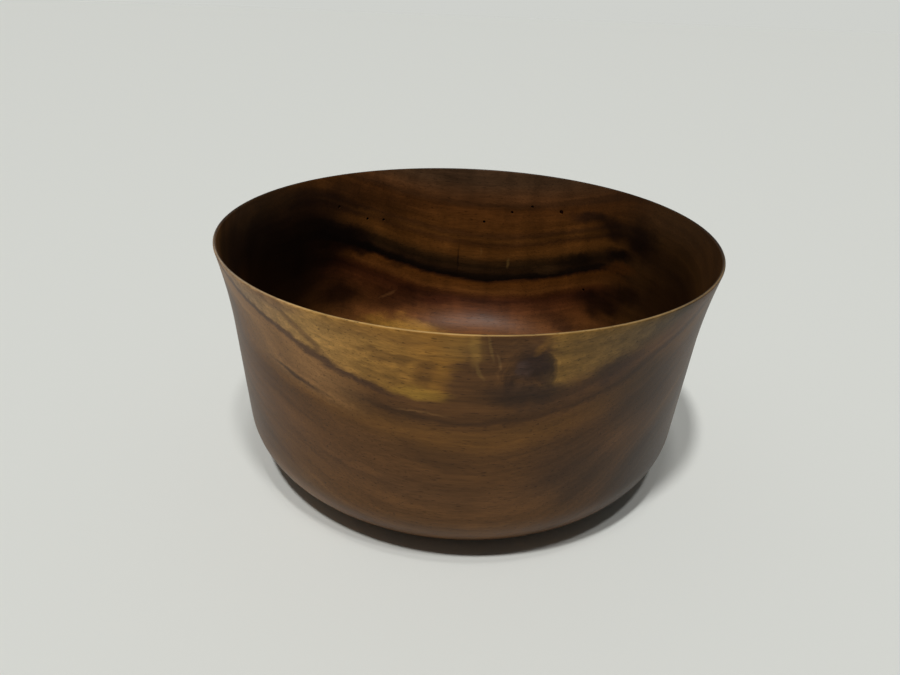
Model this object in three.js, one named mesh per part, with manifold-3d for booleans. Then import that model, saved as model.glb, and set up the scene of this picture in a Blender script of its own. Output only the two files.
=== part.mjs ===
// Flared bowl, turned on a lathe from one block of hardwood.
// Millimetres, +Z up. The origin is the centre of the foot, on the surface that the bowl stands on.
// The whole bowl is one piece of wood, so the group holds one mesh.

import * as THREE from "three";
import { mergeVertices } from "three/addons/utils/BufferGeometryUtils.js";
import Module from "manifold-3d";

// Outside of the bowl
const HEIGHT = 96; // foot to the top of the lip
const RIM_RADIUS = 100; // outside of the lip
const WALL_DRAFT = THREE.MathUtils.degToRad(3.4); // lean of the straight wall below the flare
const FLARE_HEIGHT = 32; // how far below the lip the wall starts to flare
const FLARE_REACH = 2.6; // how far the flare carries the lip past the straight wall
const CORNER_RADIUS = 24; // round between the wall and the foot

// Inside of the bowl
const LIP_THICKNESS = 1.2; // wall at the lip, which is rounded over
const WALL_THICKNESS = 6; // the same wall, carried down to the height of the foot
const FLOOR_THICKNESS = 8; // floor over the standing ring
const COVE_RADIUS = 30; // round between the inside wall and the floor

// Underside: a shallow dish, so that the bowl stands on a flat ring
const DISH_RADIUS = 46;
const DISH_DEPTH = 1.6;

// Pin holes that wood-boring beetles left in the inside wall. Each is placed by its bearing, in degrees
// from the middle of the back wall towards +X, and by its drop below the lip.
const PIN_HOLE_RADIUS = 0.75;
const WIDE_PIN_HOLE_RADIUS = 1.1;
const PIN_HOLE_SKIN = 1; // wood left between a hole's end and the outside
const PIN_HOLES = [
  { bearing: -44.3, drop: 15.1, radius: PIN_HOLE_RADIUS },
  { bearing: -34.8, drop: 23.5, radius: PIN_HOLE_RADIUS },
  { bearing: -29.2, drop: 25.1, radius: PIN_HOLE_RADIUS },
  { bearing: 5.2, drop: 27.2, radius: PIN_HOLE_RADIUS },
  { bearing: 14.3, drop: 20.7, radius: PIN_HOLE_RADIUS },
  { bearing: 20.8, drop: 16.4, radius: PIN_HOLE_RADIUS },
  { bearing: 30.7, drop: 16.6, radius: WIDE_PIN_HOLE_RADIUS },
  { bearing: 43.7, drop: 53.4, radius: PIN_HOLE_RADIUS },
];

// Mesh fineness
const TURN_STEPS = 96;
const WALL_STEPS = 5;
const FLARE_STEPS = 5;
const ROUND_STEPS = 8;
const LIP_STEPS = 4;
const DISH_STEPS = 4;
const PIN_HOLE_SIDES = 8;

const wasm = await Module();
wasm.setup();

// The lip is a half round on top of the wall. Each wall leans by the radius that it gains per unit of height,
// and the wall thins steadily up to the lip.
const lipRadius = LIP_THICKNESS / 2;
const lipHeight = HEIGHT - lipRadius;
const flareStart = lipHeight - FLARE_HEIGHT;
const outerLean = Math.tan(WALL_DRAFT);
const innerLean = outerLean + (WALL_THICKNESS - LIP_THICKNESS) / lipHeight;
const outerFootRadius = RIM_RADIUS - FLARE_REACH - outerLean * lipHeight;
const innerFootRadius = outerFootRadius - WALL_THICKNESS;

// The straight wall meets the flare without a crease, because the flare grows as a square.
function wallRadius(footRadius, lean, height) {
  const share = Math.max(0, height - flareStart) / FLARE_HEIGHT;
  return footRadius + lean * height + FLARE_REACH * share * share;
}

// Evenly spaced numbers from start to end, both included.
function spaced(start, end, steps) {
  return Array.from({ length: steps + 1 }, (_, i) => start + ((end - start) * i) / steps);
}

// Round from a level face at the given height up to a wall that leans outwards, tangent to both.
function roundPoints(footRadius, lean, levelHeight, radius) {
  const centreHeight = levelHeight + radius;
  const centreRadius = footRadius + lean * centreHeight - radius * Math.hypot(1, lean);
  return spaced(-Math.PI / 2, -Math.atan(lean), ROUND_STEPS).map(
    (angle) =>
      new THREE.Vector2(
        centreRadius + radius * Math.cos(angle),
        centreHeight + radius * Math.sin(angle),
      ),
  );
}

// Points up one wall, from the end of its round, left out, to the start of the lip.
function wallPoints(footRadius, lean, bottom) {
  const straight = spaced(bottom, flareStart, WALL_STEPS).slice(1);
  const flared = spaced(flareStart, lipHeight, FLARE_STEPS).slice(1);
  return [...straight, ...flared].map(
    (height) => new THREE.Vector2(wallRadius(footRadius, lean, height), height),
  );
}

// Half section of the bowl: underside, outside wall, lip, inside wall and floor.
function bowlSection() {
  const dish = spaced(0, DISH_RADIUS, DISH_STEPS).map(
    (radius) => new THREE.Vector2(radius, DISH_DEPTH * (1 - (radius / DISH_RADIUS) ** 2)),
  );
  const corner = roundPoints(outerFootRadius, outerLean, 0, CORNER_RADIUS);
  const outside = wallPoints(outerFootRadius, outerLean, corner.at(-1).y);
  const lip = spaced(0, Math.PI, LIP_STEPS)
    .slice(1, -1)
    .map(
      (angle) =>
        new THREE.Vector2(
          RIM_RADIUS - lipRadius + lipRadius * Math.cos(angle),
          lipHeight + lipRadius * Math.sin(angle),
        ),
    );
  const cove = roundPoints(innerFootRadius, innerLean, FLOOR_THICKNESS, COVE_RADIUS);
  const inside = wallPoints(innerFootRadius, innerLean, cove.at(-1).y);
  const floorCentre = new THREE.Vector2(0, FLOOR_THICKNESS);
  return [
    ...dish,
    ...corner,
    ...outside,
    ...lip,
    ...inside.toReversed(),
    ...cove.toReversed(),
    floorCentre,
  ];
}

// A geometry as a solid that can be cut, and a cut solid as a geometry.
function solidFrom(geometry) {
  const bare = geometry.clone();
  bare.deleteAttribute("normal");
  bare.deleteAttribute("uv");
  const merged = mergeVertices(bare);
  return new wasm.Manifold(
    new wasm.Mesh({
      numProp: 3,
      vertProperties: merged.attributes.position.array,
      triVerts: new Uint32Array(merged.index.array),
    }),
  );
}

function geometryFrom(solid) {
  const mesh = solid.getMesh();
  const geometry = new THREE.BufferGeometry();
  geometry.setAttribute("position", new THREE.BufferAttribute(mesh.vertProperties, mesh.numProp));
  geometry.setIndex(new THREE.BufferAttribute(mesh.triVerts, 1));
  geometry.computeVertexNormals();
  return geometry;
}

// The bowl as it leaves the lathe. The section turns about Y, so the bowl is stood up on Z.
function turnedBowl() {
  return new THREE.LatheGeometry(bowlSection(), TURN_STEPS).rotateX(Math.PI / 2);
}

// A blind hole that runs out from the hollow, clear of the cove, and stops inside the outside wall.
function pinHole({ bearing, drop, radius }) {
  const height = HEIGHT - drop;
  const start = wallRadius(innerFootRadius, innerLean, height) - COVE_RADIUS;
  const end = wallRadius(outerFootRadius, outerLean, height) - PIN_HOLE_SKIN;
  return new THREE.CylinderGeometry(radius, radius, end - start, PIN_HOLE_SIDES)
    .translate(0, (start + end) / 2, 0)
    .rotateZ(THREE.MathUtils.degToRad(-bearing))
    .translate(0, 0, height);
}

function bowl() {
  const solid = PIN_HOLES.reduce(
    (wood, hole) => wood.subtract(solidFrom(pinHole(hole))),
    solidFrom(turnedBowl()),
  );
  const oiledWood = new THREE.MeshStandardMaterial({
    color: 0x5f4029,
    roughness: 0.45,
    metalness: 0,
  });
  const mesh = new THREE.Mesh(geometryFrom(solid), oiledWood);
  mesh.name = "bowl";
  return mesh;
}

const flaredBowl = new THREE.Group();
flaredBowl.add(bowl());

export default flaredBowl;
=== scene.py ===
import math

import bmesh
import bpy
from mathutils import Matrix, Vector


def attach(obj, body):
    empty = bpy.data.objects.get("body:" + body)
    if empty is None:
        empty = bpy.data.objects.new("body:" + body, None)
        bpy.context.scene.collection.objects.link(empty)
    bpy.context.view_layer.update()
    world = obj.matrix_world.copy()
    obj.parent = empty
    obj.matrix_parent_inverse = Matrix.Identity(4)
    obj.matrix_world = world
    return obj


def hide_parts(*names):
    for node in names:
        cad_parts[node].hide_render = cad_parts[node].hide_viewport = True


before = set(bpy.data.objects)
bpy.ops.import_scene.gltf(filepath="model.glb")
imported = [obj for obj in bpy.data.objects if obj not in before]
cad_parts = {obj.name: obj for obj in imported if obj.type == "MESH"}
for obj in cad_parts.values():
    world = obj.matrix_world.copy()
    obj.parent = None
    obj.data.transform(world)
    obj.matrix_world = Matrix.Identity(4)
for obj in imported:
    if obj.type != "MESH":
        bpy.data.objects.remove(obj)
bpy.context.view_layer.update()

# The bowl is one block of figured hardwood, turned thin on a lathe: a flared lip, nearly upright
# walls, a rounded lower edge and a shallow dish underneath, so that it stands on a flat ring.
# It was sanded fine and rubbed with oil, and beetles left a few pin holes in the inside wall.
height = 0.096
rim_radius = 0.100
lip_thickness = 0.0012
wall_thickness = 0.006  # carried down to the height of the foot
floor_thickness = 0.008
wall_lean = math.tan(math.radians(3.4))
flare_height = 0.032
flare_reach = 0.0026
corner_radius = 0.024
cove_radius = 0.030
dish_radius = 0.046
dish_depth = 0.0016
turn_steps = 240
round_steps = 18
wall_steps = 26
lip_steps = 8
dish_steps = 10
floor_steps = 8

lip_radius = lip_thickness / 2
lip_height = height - lip_radius
flare_start = lip_height - flare_height
inner_lean = wall_lean + (wall_thickness - lip_thickness) / lip_height
outer_foot = rim_radius - flare_reach - wall_lean * lip_height
inner_foot = outer_foot - wall_thickness


def wall_at(foot, lean, z):
    share = max(0, z - flare_start) / flare_height
    return foot + lean * z + flare_reach * share * share


def spaced(start, end, steps):
    return [start + (end - start) * i / steps for i in range(steps + 1)]


def side_section(foot, lean, level, radius):
    """The turned line up one side: a round, tangent to level face and wall, then the wall."""
    centre_z = level + radius
    centre_r = foot + lean * centre_z - radius * math.hypot(1, lean)
    angles = spaced(-math.pi / 2, -math.atan(lean), round_steps)
    line = [(centre_r + radius * math.cos(a), centre_z + radius * math.sin(a)) for a in angles]
    heights = spaced(line[-1][1], lip_height, wall_steps)[1:]
    return line + [(wall_at(foot, lean, z), z) for z in heights]


dish = [(r, dish_depth * (1 - (r / dish_radius) ** 2)) for r in spaced(0, dish_radius, dish_steps)]
lip = [
    (rim_radius - lip_radius + lip_radius * math.cos(a), lip_height + lip_radius * math.sin(a))
    for a in spaced(0, math.pi, lip_steps)[1:-1]
]
outside = side_section(outer_foot, wall_lean, 0, corner_radius)
inside = side_section(inner_foot, inner_lean, floor_thickness, cove_radius)
floor_line = [(r, floor_thickness) for r in spaced(0, inside[0][0], floor_steps)[:-1]]
section = dish + outside + lip + inside[::-1] + floor_line[::-1]

turning = bmesh.new()
points = [turning.verts.new((r, 0, z)) for r, z in section]
edges = [turning.edges.new(pair) for pair in zip(points, points[1:])]
bmesh.ops.spin(
    turning,
    geom=points + edges,
    cent=(0, 0, 0),
    axis=(0, 0, 1),
    angle=math.tau,
    steps=turn_steps,
    use_merge=True,
)
bmesh.ops.remove_doubles(turning, verts=turning.verts[:], dist=1e-6)
bmesh.ops.recalc_face_normals(turning, faces=turning.faces[:])
bowl_mesh = bpy.data.meshes.new("turned_bowl")
turning.to_mesh(bowl_mesh)
turning.free()
bowl = bpy.data.objects.new("turned_bowl", bowl_mesh)
bpy.context.scene.collection.objects.link(bowl)

# Pin holes: bearing in degrees from the middle of the back wall towards +X, drop below the lip, and
# radius. Each stops inside the wall, short of the outside by a thin skin of wood.
pin_radius = 0.00075
wide_pin_radius = 0.0011
pin_hole_skin = 0.001
pin_hole_sides = 16
pin_holes = [
    (-44.3, 0.0151, pin_radius),
    (-34.8, 0.0235, pin_radius),
    (-29.2, 0.0251, pin_radius),
    (5.2, 0.0272, pin_radius),
    (14.3, 0.0207, pin_radius),
    (20.8, 0.0164, pin_radius),
    (30.7, 0.0166, wide_pin_radius),
    (43.7, 0.0534, pin_radius),
]
boring = bmesh.new()
for bearing, drop, radius in pin_holes:
    z = height - drop
    start = wall_at(inner_foot, inner_lean, z) - cove_radius
    end = wall_at(outer_foot, wall_lean, z) - pin_hole_skin
    bmesh.ops.create_cone(
        boring,
        cap_ends=True,
        segments=pin_hole_sides,
        radius1=radius,
        radius2=radius,
        depth=end - start,
        matrix=Matrix.Rotation(-math.radians(bearing), 4, "Z")
        @ Matrix.Translation((0, (start + end) / 2, z))
        @ Matrix.Rotation(math.radians(90), 4, "X"),
    )
cutter_mesh = bpy.data.meshes.new("beetle_borings")
boring.to_mesh(cutter_mesh)
boring.free()
cutter = bpy.data.objects.new("beetle_borings", cutter_mesh)
bpy.context.scene.collection.objects.link(cutter)
cut = bowl.modifiers.new("pin holes", "BOOLEAN")
cut.operation = "DIFFERENCE"
cut.solver = "EXACT"
cut.object = cutter
depsgraph = bpy.context.evaluated_depsgraph_get()
bored_mesh = bpy.data.meshes.new_from_object(bowl.evaluated_get(depsgraph))
bowl.modifiers.clear()
bowl.data = bored_mesh
bpy.data.objects.remove(cutter)
bpy.data.meshes.remove(cutter_mesh)
bpy.data.meshes.remove(bowl_mesh)
bored_mesh.name = "turned_bowl"
sharp_edge = math.radians(50)
bored_mesh.shade_smooth()
bored_mesh.set_sharp_from_angle(angle=sharp_edge)

# The hollow's surface is marked so that its stains, its painted shade and its ripple stay off the
# outside: every point above the floor and within the inside wall, to a small gap.
surface_gap = 0.0003
marks = [
    float(
        v.co.z > floor_thickness - surface_gap
        and v.co.xy.length < wall_at(inner_foot, inner_lean, v.co.z) + surface_gap
    )
    for v in bored_mesh.vertices
]
bored_mesh.attributes.new("hollow", "FLOAT", "POINT").data.foreach_set("value", marks)


def linear(hex_colour):
    """An sRGB hex colour as the linear colour that a shader takes."""
    shares = [int(hex_colour[i : i + 2], 16) / 255 for i in (1, 3, 5)]
    return [s / 12.92 if s <= 0.04045 else ((s + 0.055) / 1.055) ** 2.4 for s in shares] + [1]


def add_node(tree, kind, wires=(), out=0, stops=(), **settings):
    """Adds a node. Wires gives a socket its value, or another node's output to link to it."""
    made = tree.nodes.new("ShaderNode" + kind)
    for name, value in settings.items():
        setattr(made, name, value)
    for at, _ in stops[2:]:
        made.color_ramp.elements.new(at)
    for stop, (at, shade) in zip(made.color_ramp.elements if stops else (), stops):
        stop.position = at
        stop.color = linear(shade)
    for socket, value in dict(wires).items():
        if isinstance(value, bpy.types.NodeSocket):
            tree.links.new(value, made.inputs[socket])
        else:
            made.inputs[socket].default_value = value
    return made.outputs[out] if made.outputs else made


# Oiled hardwood. The log lay along X with its pith below the bowl, so growth bands are shells
# around that pith: the wall cuts them into hanging curves at the front and back and into end grain
# at the left and right. Oil leaves a satin sheen. Lengths here are in millimetres.
oiled_wood = bpy.data.materials.new("oiled_hardwood")
oiled_wood.use_nodes = True
wood = oiled_wood.node_tree
wood.nodes.clear()
metres = add_node(wood, "TexCoord", out="Object")
spot = add_node(wood, "Mapping", {"Vector": metres, "Scale": (1000, 1000, 1000)})
along, across, up = add_node(wood, "SeparateXYZ", {0: spot}).node.outputs
hollow = add_node(wood, "Attribute", out="Fac", attribute_name="hollow")
front = add_node(
    wood,
    "MapRange",
    {"Value": across, "From Min": 20, "From Max": -20},
    interpolation_type="SMOOTHSTEP",
)
behind = add_node(
    wood,
    "MapRange",
    {"Value": across, "From Min": 34, "From Max": 64},
    interpolation_type="SMOOTHSTEP",
)

# Distance from the pith, which runs 20 mm behind the bowl's axis and 40 mm below its foot. The log
# leans a little and is not quite round: its shells lie flatter at the left of the front and bend
# more in the back wall. Growth also wandered slowly from year to year, and frays at fine scale.
pith = add_node(wood, "Mapping", {"Vector": spot, "Location": (0, -20, 40), "Scale": (0, 1, 1)})
reach = add_node(wood, "VectorMath", {0: pith}, out="Value", operation="LENGTH")
lean = add_node(wood, "Math", {0: across, 1: 0.0003, 2: 0.05}, operation="MULTIPLY_ADD")
leaning = add_node(wood, "Math", {0: along, 1: lean, 2: reach}, operation="MULTIPLY_ADD")
left = add_node(wood, "Math", {0: along, 1: 0}, operation="MINIMUM")
left_square = add_node(wood, "Math", {0: left, 1: along}, operation="MULTIPLY")
low = add_node(
    wood,
    "MapRange",
    {"Value": up, "From Min": 84, "From Max": 66, "To Max": 0.0019},
    interpolation_type="SMOOTHSTEP",
)
steep = add_node(wood, "Math", {0: left_square, 1: 1.5e-7, 2: low}, operation="MULTIPLY_ADD")
flattening = add_node(wood, "Math", {0: steep, 1: front}, operation="MULTIPLY")
flattened = add_node(
    wood, "Math", {0: left_square, 1: flattening, 2: leaning}, operation="MULTIPLY_ADD"
)
square = add_node(wood, "Math", {0: along, 1: along}, operation="MULTIPLY")
bending = add_node(wood, "Math", {0: behind, 1: -0.0012}, operation="MULTIPLY")
bent = add_node(wood, "Math", {0: square, 1: bending, 2: flattened}, operation="MULTIPLY_ADD")
slow = add_node(wood, "Mapping", {"Vector": spot, "Scale": (1 / 60, 1 / 34, 1 / 34)})
wander = add_node(wood, "TexNoise", {"Vector": slow, "Scale": 1, "Detail": 3, "Roughness": 0.5})
wandering = add_node(
    wood,
    "MapRange",
    {"Value": wander, "From Min": 0.25, "From Max": 0.75, "To Min": -1.4, "To Max": 1.4},
)
ring = add_node(wood, "Math", {0: bent, 1: wandering}, operation="ADD")
frayed = add_node(wood, "Mapping", {"Vector": spot, "Scale": (1 / 10, 1 / 2, 1 / 2)})
fray = add_node(wood, "TexNoise", {"Vector": frayed, "Scale": 1, "Detail": 4, "Roughness": 0.6})
fraying = add_node(
    wood,
    "MapRange",
    {"Value": fray, "From Min": 0.3, "From Max": 0.7, "To Min": -0.55, "To Max": 0.55},
)
ring = add_node(wood, "Math", {0: ring, 1: fraying}, operation="ADD")
first_ring = 40
last_ring = 180
ring_share = add_node(
    wood, "MapRange", {"Value": ring, "From Min": first_ring, "From Max": last_ring}
)

# Heartwood: its colour changes from shell to shell, as the tree grew fast or slowly. The back wall
# is the most lively, with a black crescent under an olive one. Each line gives a distance from the
# pith and the colour there.
front_bands = [
    (40, "#5a3b1e"),
    (58, "#6f4921"),
    (70, "#5a3a1d"),
    (84, "#704a23"),
    (96, "#5c3d1f"),
    (108, "#644220"),
    (116, "#593b1e"),
    (126, "#664421"),
    (134, "#684626"),
    (139, "#654322"),
    (143, "#624121"),
    (146, "#624120"),
    (149, "#724c22"),
    (151.5, "#704b22"),
    (153.6, "#644220"),
    (154.6, "#4b311a"),
    (156, "#583a1e"),
    (157.4, "#6b4725"),
    (180, "#624122"),
]
back_bands = [
    (40, "#5a3b1e"),
    (66, "#704622"),
    (80, "#714421"),
    (88, "#62371c"),
    (92, "#442312"),
    (94.5, "#542e14"),
    (96.5, "#6d421c"),
    (101.3, "#693e17"),
    (102.4, "#472811"),
    (103.3, "#140c08"),
    (105.2, "#1c130b"),
    (107, "#362312"),
    (109.5, "#2e1f0f"),
    (112, "#422b14"),
    (114.5, "#6a431c"),
    (118, "#6f451c"),
    (120.5, "#523217"),
    (122.5, "#66401b"),
    (124.6, "#543419"),
    (127, "#6a411b"),
    (136.5, "#633b19"),
    (138.8, "#4f3119"),
    (141.5, "#623e21"),
    # The last two stops, at the top of the back wall under the lip, are greyer: partly the wood's
    # own tone, partly a painted reflection of the room.
    (150, "#573e29"),
    (180, "#4f3a29"),
]
front_tone, back_tone = [
    add_node(
        wood,
        "ValToRGB",
        {0: ring_share},
        stops=[((at - first_ring) / (last_ring - first_ring), shade) for at, shade in bands],
    )
    for bands in (front_bands, back_bands)
]
# A Mix node's colours go in at sockets 6 and 7 and come out at 2. Plain numbers go in at 2 and 3.
tone = add_node(wood, "Mix", {0: behind, 6: front_tone, 7: back_tone}, out=2, data_type="RGBA")

# Slow swirls push stains and painted shade about by up to 6 mm, for smoky edges, and thin streaks
# by up to 2 mm.
smoky_sway = 12
steady_sway = 4
swirl = add_node(wood, "Mapping", {"Vector": spot, "Scale": (1 / 14, 1 / 14, 1 / 10)})
swirls = add_node(
    wood, "TexNoise", {"Vector": swirl, "Scale": 1, "Detail": 3, "Roughness": 0.55}, out="Color"
)
swirl_shift = add_node(wood, "VectorMath", {0: swirls, 1: (0.5, 0.5, 0.5)}, operation="SUBTRACT")
smoky, steady = [
    add_node(
        wood,
        "VectorMath",
        {0: swirl_shift, 1: (shift, shift, shift), 2: spot},
        operation="MULTIPLY_ADD",
    )
    for shift in (smoky_sway, steady_sway)
]

# Sapwood: the pale outer wood of the tree, golden at the left and dull at the right, which shows
# only under the lip at the front. A branch grew through it, and a dark line of gum borders it at
# the left, with a paler zone of heartwood under that.
sap_ring = 158.6
soft = add_node(wood, "MapRange", {"Value": along, "From Max": 40, "To Min": 161, "To Max": 167})
shell = add_node(
    wood,
    "MapRange",
    {"Value": ring, "From Min": sap_ring, "From Max": soft},
    interpolation_type="SMOOTHSTEP",
)
branch_place = add_node(wood, "SeparateXYZ", {0: steady})
branch_edge = add_node(
    wood, "Math", {0: fraying, 1: 1.6, 2: branch_place}, operation="MULTIPLY_ADD"
)
branch_slant = add_node(
    wood, "MapRange", {"Value": up, "From Min": 78, "From Max": 92, "To Max": 7}
)
branch_start = add_node(
    wood, "Math", {0: fraying, 1: 3.5, 2: branch_place}, operation="MULTIPLY_ADD"
)
branch_start = add_node(wood, "Math", {0: branch_start, 1: branch_slant}, operation="SUBTRACT")
branch_left = add_node(
    wood,
    "MapRange",
    {"Value": branch_start, "From Min": -2, "From Max": -8},
    interpolation_type="SMOOTHSTEP",
)
branch_right = add_node(
    wood,
    "MapRange",
    {"Value": branch_edge, "From Min": 22, "From Max": 29},
    interpolation_type="SMOOTHSTEP",
)
beside_branch = add_node(wood, "Math", {0: branch_left, 1: branch_right}, operation="ADD")
outer_shell = add_node(wood, "Math", {0: shell, 1: front}, operation="MULTIPLY")
sap = add_node(wood, "Math", {0: outer_shell, 1: beside_branch}, operation="MULTIPLY")
sap_reach = 80
sap_share = add_node(
    wood, "MapRange", {"Value": along, "From Min": -sap_reach, "From Max": sap_reach}
)
sap_tones = [
    # The far-left tone is pinker and greyer: partly the sapwood's own colour, partly a painted
    # sheen where the wall turns side-on.
    (-80, "#aa8661"),
    (-50, "#b4894c"),
    (-25, "#b0803c"),
    (-6, "#9f6e2c"),
    (28, "#926c33"),
    (50, "#775b31"),
    (70, "#54422a"),
]
sap_tone = add_node(
    wood,
    "ValToRGB",
    {0: sap_share},
    stops=[((x + sap_reach) / (2 * sap_reach), shade) for x, shade in sap_tones],
)
sap_fleck = add_node(
    wood,
    "MapRange",
    {"Value": fray, "From Min": 0.3, "From Max": 0.7, "To Min": 0.7, "To Max": 1.2},
)
sap_tone = add_node(
    wood, "Mix", {0: 1, 6: sap_tone, 7: sap_fleck}, out=2, data_type="RGBA", blend_type="MULTIPLY"
)
tone = add_node(wood, "Mix", {0: sap, 6: tone, 7: sap_tone}, out=2, data_type="RGBA")
gum_inner = add_node(
    wood,
    "MapRange",
    {"Value": ring, "From Min": 157.3, "From Max": sap_ring},
    interpolation_type="SMOOTHSTEP",
)
gum_outer = add_node(
    wood,
    "MapRange",
    {"Value": ring, "From Min": 160.4, "From Max": 159.2},
    interpolation_type="SMOOTHSTEP",
)
gum_left = add_node(
    wood,
    "MapRange",
    {"Value": along, "From Min": -12, "From Max": -32, "To Max": 0.7},
    interpolation_type="SMOOTHSTEP",
)
gum_band = add_node(wood, "Math", {0: gum_inner, 1: gum_outer}, operation="MULTIPLY")
gum_side = add_node(wood, "Math", {0: gum_left, 1: front}, operation="MULTIPLY")
gum = add_node(wood, "Math", {0: gum_band, 1: gum_side}, operation="MULTIPLY")
pale_inner = add_node(
    wood,
    "MapRange",
    {"Value": ring, "From Min": 148, "From Max": 152},
    interpolation_type="SMOOTHSTEP",
)
pale_left = add_node(
    wood,
    "MapRange",
    {"Value": along, "From Min": -24, "From Max": -46, "To Max": 0.85},
    interpolation_type="SMOOTHSTEP",
)
pale_band = add_node(wood, "Math", {0: pale_inner, 1: pale_left}, operation="MULTIPLY")
pale_front = add_node(wood, "Math", {0: pale_band, 1: front}, operation="MULTIPLY")
below_sap = add_node(wood, "Math", {0: 1, 1: sap}, operation="SUBTRACT")
pale = add_node(wood, "Math", {0: pale_front, 1: below_sap}, operation="MULTIPLY")
tone = add_node(wood, "Mix", {0: pale, 6: tone, 7: linear("#986e41")}, out=2, data_type="RGBA")
tone = add_node(wood, "Mix", {0: gum, 6: tone, 7: linear("#3c2820")}, out=2, data_type="RGBA")

# Stains, painted shade, painted light and the knot of the branch are soft clouds with smoky edges;
# pale streaks and fine cracks are thin ones with steadier edges. Each has its centre, the turn of
# its long side about Y in degrees, its half sizes, its colour and how strongly it covers the wood.
outside_stains_and_painted_light = [
    # The first four clouds are partly the wood's own colour, partly painted shade and painted
    # light: three darken the right of the front, the darkest low by the foot, and one lightens the
    # lower left, as more light falls from the left.
    ((40, -85, 38), 30, (24, 20, 16), "#39291d", 0.5),
    ((61, -75, 66), 0, (22, 24, 16), "#3e2f22", 0.6),
    ((66, -58, 20), 0, (24, 32, 36), "#29241e", 0.6),
    ((-54, -68, 13), 0, (22, 26, 16), "#8a6845", 0.4),
    ((47, -84, 78), -18, (15, 14, 4), "#362721", 0.65),
    ((27, -93, 73), 0, (16, 14, 5), "#36261c", 0.5),
    ((0, -98, 92), 0, (7, 12, 8), "#966e35", 0.6),
    ((18, -96, 74.5), 0, (15, 14, 6), "#36261c", 0.7),
    ((20.5, -96, 85), 0, (5.5, 14, 6.5), "#271918", 0.8),
    ((25.5, -95, 80), -25, (3, 14, 7), "#2d1e18", 0.7),
    ((14.5, -96, 79), 20, (2.5, 14, 6), "#3c281b", 0.5),
    ((18.5, -96, 83), 0, (2.5, 12, 3), "#5c463e", 0.5),
    ((-13, -96, 74.5), 4, (11, 12, 3), "#b78c37", 0.7),
    ((-10, -97, 81), 0, (5, 12, 4), "#5c3b1b", 0.65),
    ((-22, -96, 93), 0, (24, 12, 3.4), "#764f22", 0.5),
    ((-22, -96, 85.5), 5, (16, 12, 1.6), "#634320", 0.5),
]
hollow_stains_and_painted_shade = [
    ((-38, 78, 27.5), 6, (30, 16, 9), "#281207", 0.8),
    ((-40, 38, 9), 0, (46, 40, 10), "#825928", 0.6),
    ((-34, 68, 12), 12, (30, 22, 7), "#a3772e", 0.8),
    # The near-black clouds on the left and right walls of the hollow are mostly painted shade, as
    # these walls face sideways and little lamp light reaches them; some of their blotches are the
    # wood's own dark figure.
    ((-88, 28, 62), 0, (26, 50, 42), "#110a08", 0.9),
    ((-70, 60, 84), 0, (34, 30, 14), "#140b09", 0.75),
    ((-62, 62, 65), 12, (24, 22, 8), "#120a08", 0.88),
    ((-65, 57, 36), 12, (20, 20, 10), "#190d09", 0.85),
    ((62, 69, 80), -16, (16, 14, 3.5), "#1e1413", 0.7),
    ((72, 60, 78), -20, (10, 14, 6), "#160c09", 0.8),
    ((76, 54, 67), -12, (8, 12, 4.5), "#130b09", 0.9),
    ((57, 69, 56), -20, (15, 14, 5), "#1a120a", 0.75),
    ((82, 44, 78), 0, (11, 18, 12), "#130b09", 0.85),
    ((70, 54, 39), -15, (18, 22, 8), "#170c09", 0.85),
    ((78, 42, 50), -15, (12, 20, 6), "#170c09", 0.75),
    ((52, 66, 23), 0, (14, 14, 6), "#28130a", 0.65),
    ((-55, 73, 57), 33, (11, 10, 4), "#0d0806", 0.85),
    ((-38, 83, 48), 25, (14, 10, 4), "#0d0806", 0.5),
    ((-40, 84, 76), 0, (20, 14, 9), "#311a0a", 0.5),
    ((-16, 84, 24), 5, (14, 12, 4), "#401c0d", 0.5),
    ((42, 80, 48), -15, (12, 10, 3.5), "#49331c", 0.5),
    ((76, 51, 60), -15, (12, 12, 3.5), "#73431a", 0.6),
    ((92, 14, 58), 0, (20, 44, 40), "#140b08", 0.5),
    ((-72, 50, 62), 0, (26, 34, 24), "#110907", 0.8),
    ((-50, 81, 84), 10, (17, 14, 7), "#281306", 0.5),
    ((-97, -4, 82), 0, (14, 44, 14), "#1b1714", 0.65),
]
streaks = [
    ((22.5, -95, 91), 35, (1.6, 12, 3.5), "#92652b", 0.6),
    ((-49, -85, 86), 39, (15, 20, 1.6), "#5f4129", 0.65),
    ((-60, -80, 94.5), 0, (16, 16, 2.5), "#735544", 0.5),
    ((-53, -80, 67.5), 14, (14, 20, 1.2), "#2e1d13", 0.75),
    ((-12, -96, 66.3), 3, (10, 12, 0.5), "#815b33", 0.6),
    ((3.4, -98, 92), 0, (1.8, 12, 8), "#a87e3c", 0.6),
    ((5.2, -97, 83), -25, (0.8, 12, 4), "#94703c", 0.45),
    ((7.8, -97, 92), -8, (0.7, 12, 6), "#94703c", 0.45),
    ((10.5, -97, 87), -14, (0.6, 12, 4), "#8c683e", 0.4),
    ((-4.6, 88, 47), 0, (0.6, 8, 11), "#170d08", 0.7),
    ((7.5, 88, 52), 0, (0.8, 8, 3), "#845f33", 0.5),
    ((23, 85, 47), 0, (1, 8, 4), "#846637", 0.6),
    ((-43, 75, 30), -15, (6, 10, 0.9), "#7d5430", 0.35),
]
marked = [(smoky, outside_stains_and_painted_light, 1), (smoky, hollow_stains_and_painted_shade, hollow), (steady, streaks, 1)]
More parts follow.
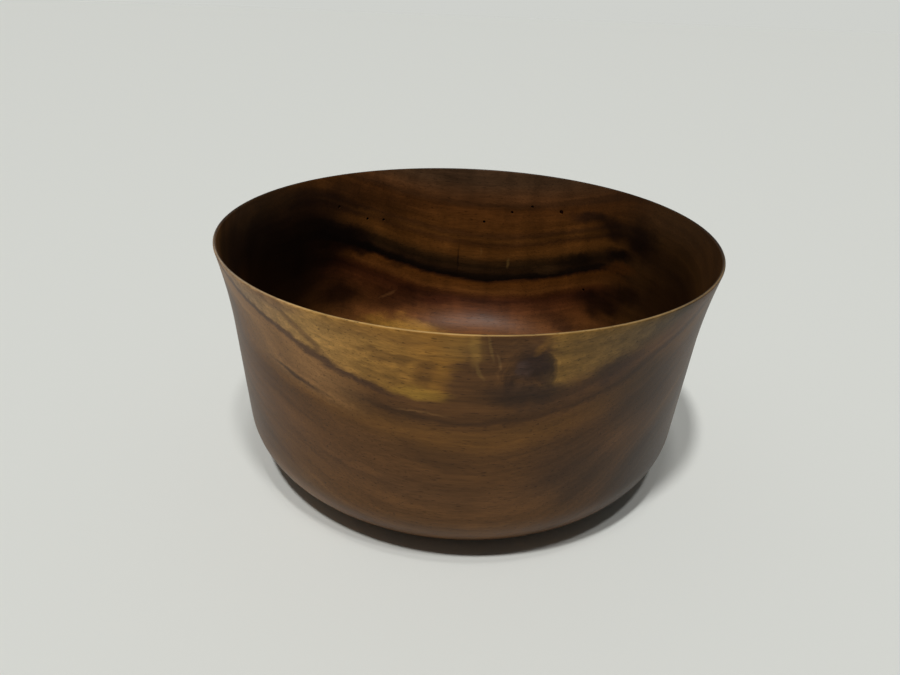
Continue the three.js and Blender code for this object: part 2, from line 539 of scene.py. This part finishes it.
for place, clouds, where in marked:
    for centre, turn, half, shade, most in clouds:
        local = add_node(
            wood,
            "Mapping",
            {
                "Vector": place,
                "Location": centre,
                "Rotation": (0, math.radians(turn), 0),
                "Scale": half,
            },
            vector_type="TEXTURE",
        )
        middle = add_node(wood, "VectorMath", {0: local}, out="Value", operation="LENGTH")
        cover = add_node(
            wood,
            "MapRange",
            {"Value": middle, "From Min": 1.2, "From Max": 0.3, "To Max": most},
            interpolation_type="SMOOTHSTEP",
        )
        cover = add_node(wood, "Math", {0: cover, 1: where}, operation="MULTIPLY")
        tone = add_node(wood, "Mix", {0: cover, 6: tone, 7: linear(shade)}, out=2, data_type="RGBA")

# The branch's own rings curl around the knot in thin pale and dark lines.
knot = add_node(
    wood,
    "Mapping",
    {"Vector": smoky, "Location": (18.5, -96, 74), "Scale": (8, 30, 15)},
    vector_type="TEXTURE",
)
knot_reach = add_node(wood, "VectorMath", {0: knot}, out="Value", operation="LENGTH")
curl_place = add_node(wood, "CombineXYZ", {0: knot_reach, 1: along, 2: up})
curl_stretch = add_node(wood, "Mapping", {"Vector": curl_place, "Scale": (6, 1 / 9, 1 / 12)})
curl = add_node(
    wood, "TexNoise", {"Vector": curl_stretch, "Scale": 1, "Detail": 3, "Roughness": 0.6}
)
curl_line = add_node(
    wood,
    "MapRange",
    {"Value": curl, "From Min": 0.3, "From Max": 0.7, "To Min": 0.7, "To Max": 1.4},
)
curl_near = add_node(
    wood,
    "MapRange",
    {"Value": knot_reach, "From Min": 1.7, "From Max": 1.1},
    interpolation_type="SMOOTHSTEP",
)
curl_high = add_node(
    wood, "MapRange", {"Value": up, "From Min": 72, "From Max": 82}, interpolation_type="SMOOTHSTEP"
)
curl_zone = add_node(wood, "Math", {0: curl_near, 1: curl_high}, operation="MULTIPLY")
tone = add_node(
    wood,
    "Mix",
    {0: curl_zone, 6: tone, 7: curl_line},
    out=2,
    data_type="RGBA",
    blend_type="MULTIPLY",
)

# The lip's outer edge at the front is paler: partly the sapwood's colour where it reaches the lip,
# partly a painted highlight where light catches the edge, greyer at the left end. Its inner half,
# its sides and its back are dark.
lip_front = add_node(
    wood,
    "MapRange",
    {"Value": across, "From Min": -10, "From Max": -55},
    interpolation_type="SMOOTHSTEP",
)
from_axis = add_node(wood, "Mapping", {"Vector": spot, "Scale": (1, 1, 0)})
axis_reach = add_node(wood, "VectorMath", {0: from_axis}, out="Value", operation="LENGTH")
lip_outside = add_node(
    wood,
    "MapRange",
    {"Value": axis_reach, "From Min": 99.1, "From Max": 99.5},
    interpolation_type="SMOOTHSTEP",
)
painted_lip_highlight = add_node(wood, "Math", {0: lip_front, 1: lip_outside}, operation="MULTIPLY")
lip_highlight_tones = [(-80, "#a08f79"), (-45, "#b9965f"), (0, "#bb9558"), (80, "#957c58")]
lip_highlight_ramp = add_node(
    wood,
    "ValToRGB",
    {0: sap_share},
    stops=[((x + sap_reach) / (2 * sap_reach), shade) for x, shade in lip_highlight_tones],
)
lip_tone = add_node(
    wood, "Mix", {0: painted_lip_highlight, 6: linear("#2f221b"), 7: lip_highlight_ramp}, out=2, data_type="RGBA"
)
edge = add_node(
    wood,
    "MapRange",
    {"Value": up, "From Min": 95.7, "From Max": 95.9, "To Max": 0.85},
    interpolation_type="SMOOTHSTEP",
)
tone = add_node(wood, "Mix", {0: edge, 6: tone, 7: lip_tone}, out=2, data_type="RGBA")

# End grain soaks up more oil, so the left and right walls are darker. In the hollow these walls are
# darker still: that extra is painted shade, as little light reaches them. A painted shade also
# darkens the wood steadily towards the right, as more light falls from the left.
painted_side_shade = add_node(
    wood,
    "MapRange",
    {"Value": along, "From Min": -70, "From Max": 70, "To Min": 1.13, "To Max": 0.85},
)
end_wall = 95
end_way = add_node(wood, "Math", {0: along, 1: end_wall}, operation="DIVIDE")
end_share = add_node(wood, "Math", {0: end_way}, operation="ABSOLUTE")
end_grain_and_hollow_shade_least = add_node(wood, "MapRange", {"Value": hollow, "To Min": 0.82, "To Max": 0.6})
end_grain_and_hollow_shade = add_node(
    wood,
    "MapRange",
    {"Value": end_share, "From Min": 0.5, "From Max": 0.95, "To Min": 1, "To Max": end_grain_and_hollow_shade_least},
    interpolation_type="SMOOTHSTEP",
)

# Growth lines about 1.6 mm apart follow the bands. Fibres run along the log in bundles some 0.7 mm
# wide, and so do the vessels, about 0.3 mm wide, which the surface cuts into dark dashes some 3 mm
# long. A slower mottle breaks up the bands.
line_place = add_node(wood, "CombineXYZ", {0: along, 1: ring, 2: across})
line_fine = add_node(wood, "Mapping", {"Vector": line_place, "Scale": (1 / 40, 1 / 1.6, 1 / 90)})
lines = add_node(wood, "TexNoise", {"Vector": line_fine, "Scale": 1, "Detail": 3, "Roughness": 0.6})
line_shade = add_node(
    wood,
    "MapRange",
    {"Value": lines, "From Min": 0.25, "From Max": 0.75, "To Min": 0.79, "To Max": 1.21},
)
fibre_place = add_node(wood, "Mapping", {"Vector": spot, "Scale": (1 / 16, 1 / 0.7, 1 / 0.7)})
fibres = add_node(
    wood, "TexNoise", {"Vector": fibre_place, "Scale": 1, "Detail": 3, "Roughness": 0.6}
)
fibre_shade = add_node(
    wood,
    "MapRange",
    {"Value": fibres, "From Min": 0.25, "From Max": 0.75, "To Min": 0.82, "To Max": 1.18},
)
vessel_place = add_node(wood, "Mapping", {"Vector": spot, "Scale": (1 / 3.2, 1 / 0.42, 1 / 0.42)})
vessels = add_node(
    wood, "TexNoise", {"Vector": vessel_place, "Scale": 1, "Detail": 1, "Roughness": 0.5}
)
pores = add_node(
    wood,
    "MapRange",
    {"Value": vessels, "From Min": 0.62, "From Max": 0.74},
    interpolation_type="SMOOTHSTEP",
)
pore_shade = add_node(wood, "MapRange", {"Value": pores, "To Min": 1, "To Max": 0.5})
mottle_place = add_node(wood, "Mapping", {"Vector": line_place, "Scale": (1 / 26, 1 / 5, 1 / 40)})
mottle = add_node(
    wood, "TexNoise", {"Vector": mottle_place, "Scale": 1, "Detail": 3, "Roughness": 0.55}
)
mottle_shade = add_node(
    wood,
    "MapRange",
    {"Value": mottle, "From Min": 0.25, "From Max": 0.75, "To Min": 0.74, "To Max": 1.26},
)
# Ripple: the fibres wave a little, so faint upright bands some 8 mm wide show in the hollow.
ripple_place = add_node(wood, "Mapping", {"Vector": steady, "Scale": (1 / 8, 1 / 45, 1 / 26)})
ripples = add_node(
    wood, "TexNoise", {"Vector": ripple_place, "Scale": 1, "Detail": 2, "Roughness": 0.5}
)
ripple_shade = add_node(
    wood,
    "MapRange",
    {"Value": ripples, "From Min": 0.3, "From Max": 0.7, "To Min": 0.82, "To Max": 1.18},
)
ripple_shade = add_node(wood, "Mix", {0: hollow, 2: 1, 3: ripple_shade})
shade_all = end_grain_and_hollow_shade
shades = [painted_side_shade, line_shade, fibre_shade, pore_shade, mottle_shade, ripple_shade]
for shade in shades:
    shade_all = add_node(wood, "Math", {0: shade_all, 1: shade}, operation="MULTIPLY")
tone = add_node(
    wood, "Mix", {0: 1, 6: tone, 7: shade_all}, out=2, data_type="RGBA", blend_type="MULTIPLY"
)

# Rubbed oil sinks in and leaves no film: a satin sheen that varies with the fibres, fine relief
# from fibres and open pores, and a mirror part that is weaker than varnish would give.
satin = add_node(
    wood,
    "MapRange",
    {"Value": fibres, "From Min": 0.3, "From Max": 0.7, "To Min": 0.36, "To Max": 0.44},
)
relief = add_node(wood, "Math", {0: fibres, 1: pores}, operation="SUBTRACT")
skin = add_node(wood, "Bump", {"Height": relief, "Strength": 0.12, "Distance": 0.0002})
surface = add_node(
    wood,
    "BsdfPrincipled",
    {
        "Base Color": tone,
        "Roughness": satin,
        "IOR": 1.48,
        "Specular IOR Level": 0.15,
        "Normal": skin,
    },
)
add_node(wood, "OutputMaterial", {"Surface": surface})
bored_mesh.materials.clear()
bored_mesh.materials.append(oiled_wood)
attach(bowl, "root")
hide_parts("bowl")

# The floor is a plain pale table top, far wider than the view, painted with a matt white. It lies a
# hair below the foot, so that the two flat faces do not coincide.
hair = 0.0001
floor_half = 6
table = bmesh.new()
bmesh.ops.create_grid(
    table,
    x_segments=1,
    y_segments=1,
    size=floor_half,
    matrix=Matrix.Translation((0, 0, -hair)),
)
table_mesh = bpy.data.meshes.new("table_top")
table.to_mesh(table_mesh)
table.free()
floor = bpy.data.objects.new("table_top", table_mesh)
bpy.context.scene.collection.objects.link(floor)
paint = bpy.data.materials.new("matt_white_paint")
paint.use_nodes = True
paint_shader = paint.node_tree.nodes["Principled BSDF"].inputs
paint_shader["Base Color"].default_value = linear("#e7eae7")
paint_shader["Roughness"].default_value = 0.7
table_mesh.materials.append(paint)

# The light is three small ceiling lamps above and in front of the bowl, the left one strongest, in
# a dim room that is brightest behind the bowl. What shows past the floor is as pale as the floor,
# so that the two run together.
brightest_way = (-0.2, 0.95, 0.25)
backdrop_strength = 0.81
lamp_angle = math.radians(4.5)
lamp_colour = (1.0, 0.985, 0.96)
room = bpy.data.worlds.new("pale_room")
bpy.context.scene.world = room
room.use_nodes = True
sky = room.node_tree.nodes["Background"]
sky.inputs["Color"].default_value = linear("#e3e5e0")
look = add_node(room.node_tree, "TexCoord", out="Generated")
facing = add_node(
    room.node_tree, "VectorMath", {0: look, 1: brightest_way}, out="Value", operation="DOT_PRODUCT"
)
brightness = add_node(
    room.node_tree,
    "MapRange",
    {"Value": facing, "From Min": -0.4, "From Max": 0.8, "To Min": 0.06, "To Max": 0.26},
    interpolation_type="SMOOTHSTEP",
)
seen = add_node(room.node_tree, "LightPath", out="Is Camera Ray")
backdrop = add_node(room.node_tree, "Mix", {0: seen, 2: brightness, 3: backdrop_strength})
room.node_tree.links.new(backdrop, sky.inputs["Strength"])
lamps = [
    ("left_lamp", (-0.175, -0.315, 1), 1.43),
    ("ceiling_lamp", (0, -0.12, 1), 0.39),
    ("right_lamp", (0.12, -0.28, 1), 0.54),
]
for name, towards, strength in lamps:
    lamp = bpy.data.lights.new(name, "SUN")
    lamp.angle = lamp_angle
    lamp.energy = strength
    lamp.color = lamp_colour
    lamp_place = bpy.data.objects.new(name, lamp)
    lamp_place.location = towards
    lamp_place.rotation_euler = Vector(towards).to_track_quat("Z", "Y").to_euler()
    bpy.context.scene.collection.objects.link(lamp_place)

# The camera stands where the photograph was taken: close, above the lip, tilted down and rolled a
# little.
camera_stand = (0, -0.2683, 0.1813)
camera = bpy.data.cameras.new("camera")
camera.sensor_width = 36
camera.lens = 27.04
camera_place = bpy.data.objects.new("camera", camera)
bpy.context.scene.collection.objects.link(camera_place)
yaw = math.radians(-1.25)
pitch = math.radians(27.13)
roll = math.radians(2.24)
camera_place.matrix_world = (
    Matrix.Translation(camera_stand)
    @ Matrix.Rotation(-yaw, 4, "Z")
    @ Matrix.Rotation(math.pi / 2 - pitch, 4, "X")
    @ Matrix.Rotation(roll, 4, "Z")
)
bpy.context.scene.camera = camera_place

bpy.context.scene.view_settings.view_transform = "Standard"
